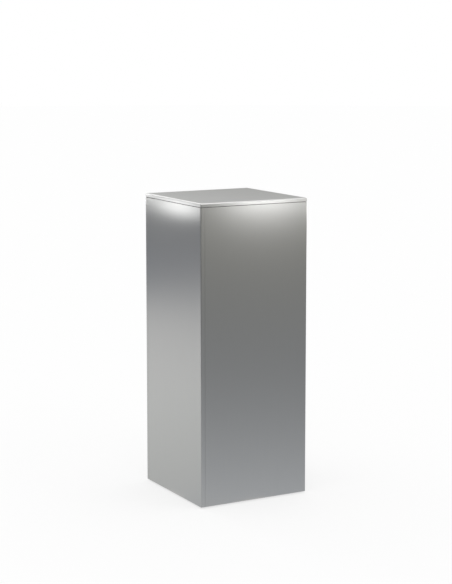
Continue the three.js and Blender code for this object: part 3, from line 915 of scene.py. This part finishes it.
# Raw MDF has a sanded, light brown face flecked with fibres, and a darker, fuzzier sawn edge. The flecks
# are drawn about twice as long as real ones, so that they show.
def raw_mdf(name, lying, edge, cover):
    """lying is whether the boards' faces look up and down, so that the edges look sideways. The edges take
    the colour given, which covers them by a share between the two given."""
    made, tree, output = material(name)
    coordinates = node(tree, "ShaderNodeTexCoord")
    place = coordinates.outputs["Object"]
    flecks = node(
        tree,
        "ShaderNodeTexNoise",
        Vector=place,
        Scale=1 / FIBRE_LENGTH,
        Detail=4.0,
        Roughness=0.7,
    )
    patches = node(tree, "ShaderNodeTexNoise", Vector=place, Scale=1 / (60 * MM), Detail=3.0)
    split = node(tree, "ShaderNodeSeparateXYZ", Vector=coordinates.outputs["Normal"])
    upward = node(tree, "ShaderNodeMath", {"operation": "ABSOLUTE"}, i0=split.outputs["Z"])
    sawn = node(
        tree,
        "ShaderNodeMapRange",
        Value=upward.outputs[0],
        From_Min=0.4,
        From_Max=0.6,
        To_Min=1.0 if lying else 0.0,
        To_Max=0.0 if lying else 1.0,
    )
    mottle = node(
        tree,
        "ShaderNodeMath",
        {"operation": "MULTIPLY"},
        i0=flecks.outputs["Fac"],
        i1=patches.outputs["Fac"],
    )
    spread = node(tree, "ShaderNodeMapRange", Value=mottle.outputs[0], From_Min=0.1, From_Max=0.45)
    face = node(
        tree,
        "ShaderNodeMix",
        {"data_type": "RGBA"},
        i0=spread.outputs[0],
        i6=linear(MDF_FACE),
        i7=linear(MDF_FACE_DARK),
    )
    least, most = cover
    spotted = node(tree, "ShaderNodeMapRange", Value=flecks.outputs["Fac"], To_Min=least, To_Max=most)
    covered = node(
        tree,
        "ShaderNodeMath",
        {"operation": "MULTIPLY"},
        i0=sawn.outputs[0],
        i1=spotted.outputs[0],
    )
    colour = node(
        tree,
        "ShaderNodeMix",
        {"data_type": "RGBA"},
        i0=covered.outputs[0],
        i6=face.outputs[2],
        i7=linear(edge),
    )
    fuzz = node(tree, "ShaderNodeMapRange", Value=sawn.outputs[0], To_Min=0.05 * MM, To_Max=0.25 * MM)
    relief = node(
        tree,
        "ShaderNodeBump",
        Strength=0.5,
        Distance=fuzz.outputs[0],
        Height=flecks.outputs["Fac"],
    )
    shader = node(
        tree,
        "ShaderNodeBsdfPrincipled",
        Base_Color=colour.outputs[2],
        Roughness=0.82,
        Normal=relief.outputs[0],
    )
    tree.links.new(shader.outputs[0], output.inputs["Surface"])
    return made


lying_mdf = raw_mdf("raw_mdf", True, MDF_EDGE, RAW_COVER)
# The standing boards' ends take the black as painted shade for the dark joint below the lid.
mdf_with_shade_painted_ends = raw_mdf("raw_mdf_with_shade_painted_ends", False, LACQUER_AND_END_SHADE_BLACK, END_SHADE_COVER)
for name in ("mid_brace", "top_board", "lid_core", "lid_plug"):
    paint_node(name, lying_mdf)
for side in SIDES:
    paint_node(f"board_{side}", mdf_with_shade_painted_ends)

# ---------------------------------------------------------------- cladding
# Four sheets of 1 mm stainless steel, each covering one side and folded round its right-hand corner,
# bonded to the boards. The edges are deburred, and meet in a hairline seam near the next corner.
SHEET = 1.0 * MM
FOLD_RADIUS = 3.0 * MM
FOLD_STEPS = 24
RETURN_WIDTH = 15.0 * MM
SEAM_GAP = 0.4 * MM
DEBURRED = 0.12 * MM
STEEL_LIGHT = "#B7B7B6"
STEEL_DARK = "#B1B1B0"
GRAIN_WIDTH = 0.7 * MM
GRAIN_LENGTH = 90 * MM


def sheet_face(low, high):
    """The outer face: along the side, round the fold as a quarter circle, then along the return. The first
    parameter is that way along the sheet, the second the height."""
    reach = high.x
    turn = np.linspace(-math.pi / 2, 0, FOLD_STEPS + 1)
    fold_x = reach - FOLD_RADIUS + FOLD_RADIUS * np.cos(turn)
    fold_y = -reach + FOLD_RADIUS + FOLD_RADIUS * np.sin(turn)
    x = np.concatenate([[-reach + RETURN_WIDTH + SEAM_GAP / 2], fold_x, [reach]])
    y = np.concatenate([[-reach], fold_y, [-reach + RETURN_WIDTH - SEAM_GAP / 2]])
    z = np.array([[low.z], [high.z]])
    points = np.stack(np.broadcast_arrays(x, y, z), axis=-1).reshape(-1, 3)
    first = np.arange(len(x) - 1)
    return points, np.stack([first, first + 1, first + 1 + len(x), first + len(x)], axis=1)


def about_z(points, quarters):
    """Points turned about Z by quarter turns."""
    turn = quarters * math.pi / 2
    c, s = round(math.cos(turn)), round(math.sin(turn))
    return points @ np.array([[c, s, 0], [-s, c, 0], [0, 0, 1]])


# Satin stainless is ground with a belt, in lines along the sheet. It mirrors softly, with no sharp
# image, and the lines show only close by. They are drawn about five times as wide as real ones.
def ground_steel(name, stretch):
    """stretch is the size of a grinding mark along each axis."""
    made, tree, output = material(name)
    place = node(tree, "ShaderNodeTexCoord").outputs["Object"]
    along = node(tree, "ShaderNodeMapping", Vector=place, Scale=tuple(1 / size for size in stretch))
    marks = node(tree, "ShaderNodeTexNoise", Vector=along.outputs[0], Scale=1.0, Detail=3.0, Roughness=0.6)
    colour = node(
        tree,
        "ShaderNodeMix",
        {"data_type": "RGBA"},
        i0=marks.outputs["Fac"],
        i6=linear(STEEL_LIGHT),
        i7=linear(STEEL_DARK),
    )
    gloss = node(tree, "ShaderNodeMapRange", Value=marks.outputs["Fac"], To_Min=0.28, To_Max=0.36)
    relief = node(tree, "ShaderNodeBump", Strength=0.15, Distance=0.01 * MM, Height=marks.outputs["Fac"])
    shader = node(
        tree,
        "ShaderNodeBsdfPrincipled",
        Base_Color=colour.outputs[2],
        Metallic=1.0,
        Roughness=gloss.outputs[0],
        Normal=relief.outputs[0],
    )
    tree.links.new(shader.outputs[0], output.inputs["Surface"])
    return made


upright_steel = ground_steel("satin_stainless_upright", (GRAIN_WIDTH, GRAIN_WIDTH, GRAIN_LENGTH))
face_points, face_quads = sheet_face(*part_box("skin_front"))
for quarters, side in enumerate(SIDES):
    sheet = mesh_object(f"folded_sheet_{side}", about_z(face_points, quarters), face_quads)
    wall = sheet.modifiers.new("wall", "SOLIDIFY")
    wall.thickness = SHEET
    wall.offset = -1.0
    wall.use_even_offset = True
    edge = sheet.modifiers.new("deburred_edge", "BEVEL")
    edge.width = DEBURRED
    edge.segments = 2
    edge.angle_limit = CREASE
    settle(sheet, f"skin_{side}", "column", upright_steel)

# ---------------------------------------------------------------- lid gasket
# A strip of closed-cell foam, stuck round the underside of the lid, mitred at the corners and slightly
# bulged where the lid's weight presses it. Its black is partly the foam's own and partly painted shade: it
# draws the dark line of the shadow gap below the lid.
GASKET_WIDTH = 14 * MM
GASKET_BULGE = 0.3 * MM
GASKET_STEPS = 8
FOAM_AND_GAP_SHADE_BLACK = "#151516"
FOAM_CELL_WALL = "#242425"


def gasket_shape():
    """The section is a flat strip whose two sides bulge out as half sines. It is carried round a square,
    so each of its points is a square ring with a half width and a height."""
    low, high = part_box("lid_gasket")
    share = np.linspace(0, 1, GASKET_STEPS)
    bulge = GASKET_BULGE * np.sin(share * np.pi)
    outer = high.x - GASKET_BULGE + bulge
    inner = high.x - GASKET_WIDTH + GASKET_BULGE - bulge
    reach = np.concatenate([outer, inner[::-1]])
    height = low.z + (high.z - low.z) * np.concatenate([share, share[::-1]])
    signs = np.array([(1, 1), (-1, 1), (-1, -1), (1, -1)])
    ring = reach[:, None, None] * signs
    heights = np.broadcast_to(height[:, None, None], ring[..., :1].shape)
    points = np.concatenate([ring, heights], axis=-1).reshape(-1, 3)
    return points, grid_faces(len(reach), len(signs), joined=True)


# Foam is a dead matt black, pitted all over by cells of half a millimetre. Its black is also painted shade
# for the gap below the lid.
def foam_and_gap_shade():
    made, tree, output = material("black_foam_and_gap_shade")
    place = node(tree, "ShaderNodeTexCoord").outputs["Object"]
    cells = node(tree, "ShaderNodeTexVoronoi", Vector=place, Scale=1 / (0.5 * MM))
    colour = node(
        tree,
        "ShaderNodeMix",
        {"data_type": "RGBA"},
        i0=cells.outputs["Distance"],
        i6=linear(FOAM_AND_GAP_SHADE_BLACK),
        i7=linear(FOAM_CELL_WALL),
    )
    relief = node(
        tree,
        "ShaderNodeBump",
        Strength=0.6,
        Distance=0.15 * MM,
        Height=cells.outputs["Distance"],
    )
    shader = node(
        tree,
        "ShaderNodeBsdfPrincipled",
        Base_Color=colour.outputs[2],
        Roughness=0.95,
        Normal=relief.outputs[0],
    )
    tree.links.new(shader.outputs[0], output.inputs["Surface"])
    return made


gasket = mesh_object("foam_gasket", *gasket_shape())
# The gasket's black is partly painted shade for the gap below the lid.
settle(gasket, "lid_gasket", "lid", foam_and_gap_shade())

# ---------------------------------------------------------------- lid tray
# A tray of the same sheet, its four edges rolled down round a 4 mm radius and welded and ground at the
# corners, bonded over the core of the lid. It stands flush with the sides.
ROLL_RADIUS = 4.0 * MM
WELD_RADIUS = 1.5 * MM
LEAST_CORNER = 0.2 * MM
ROLL_STEPS = 14
WELD_STEPS = 7
TRAY_EDGE = 0.15 * MM


def square_ring(reach, corner):
    """Plan points of a square with round corners, for each half width and corner radius."""
    turn = (np.arange(4)[:, None] * np.pi / 2 + np.linspace(0, np.pi / 2, WELD_STEPS)).ravel()
    sign_x = np.repeat([1, -1, -1, 1], WELD_STEPS)
    sign_y = np.repeat([1, 1, -1, -1], WELD_STEPS)
    reach, corner = reach[:, None], corner[:, None]
    x = sign_x * (reach - corner) + corner * np.cos(turn)
    y = sign_y * (reach - corner) + corner * np.sin(turn)
    return x, y


def tray_shape():
    """Rows of square rings, from the middle of the ceiling inside, down the wall, under the rim, up the
    outside and over the roll to the middle of the top. Along the roll a ring is drawn in by
    radius (1 - cos) and rises by radius sin."""
    low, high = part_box("lid_tray")
    angle = np.linspace(0, np.pi / 2, ROLL_STEPS)
    rim = np.linspace(0, np.pi / 2, CORNER_STEPS)
    inner_roll = ROLL_RADIUS - SHEET
    drawn_in = np.concatenate([
        SHEET + inner_roll * (1 - np.cos(angle[::-1])),
        SHEET - TRAY_EDGE * (1 - np.cos(rim)),
        TRAY_EDGE * (1 - np.sin(rim)),
        ROLL_RADIUS * (1 - np.cos(angle)),
    ])
    height = np.concatenate([
        high.z - SHEET - inner_roll * (1 - np.sin(angle[::-1])),
        low.z + TRAY_EDGE * (1 - np.sin(rim)),
        low.z + TRAY_EDGE * (1 - np.cos(rim)),
        high.z - ROLL_RADIUS * (1 - np.sin(angle)),
    ])
    x, y = square_ring(high.x - drawn_in, np.maximum(WELD_RADIUS - drawn_in, LEAST_CORNER))
    points = np.stack(np.broadcast_arrays(x, y, height[:, None]), axis=-1).reshape(-1, 3)
    rows, columns = x.shape
    ceiling = list(range(columns))[::-1]
    top = list(range((rows - 1) * columns, rows * columns))
    return points, grid_faces(rows, columns).tolist() + [ceiling, top]


lying_steel = ground_steel("satin_stainless_lying", (GRAIN_LENGTH, GRAIN_WIDTH, GRAIN_WIDTH))
tray = mesh_object("rolled_tray", *tray_shape())
settle(tray, "lid_tray", "lid", lying_steel)
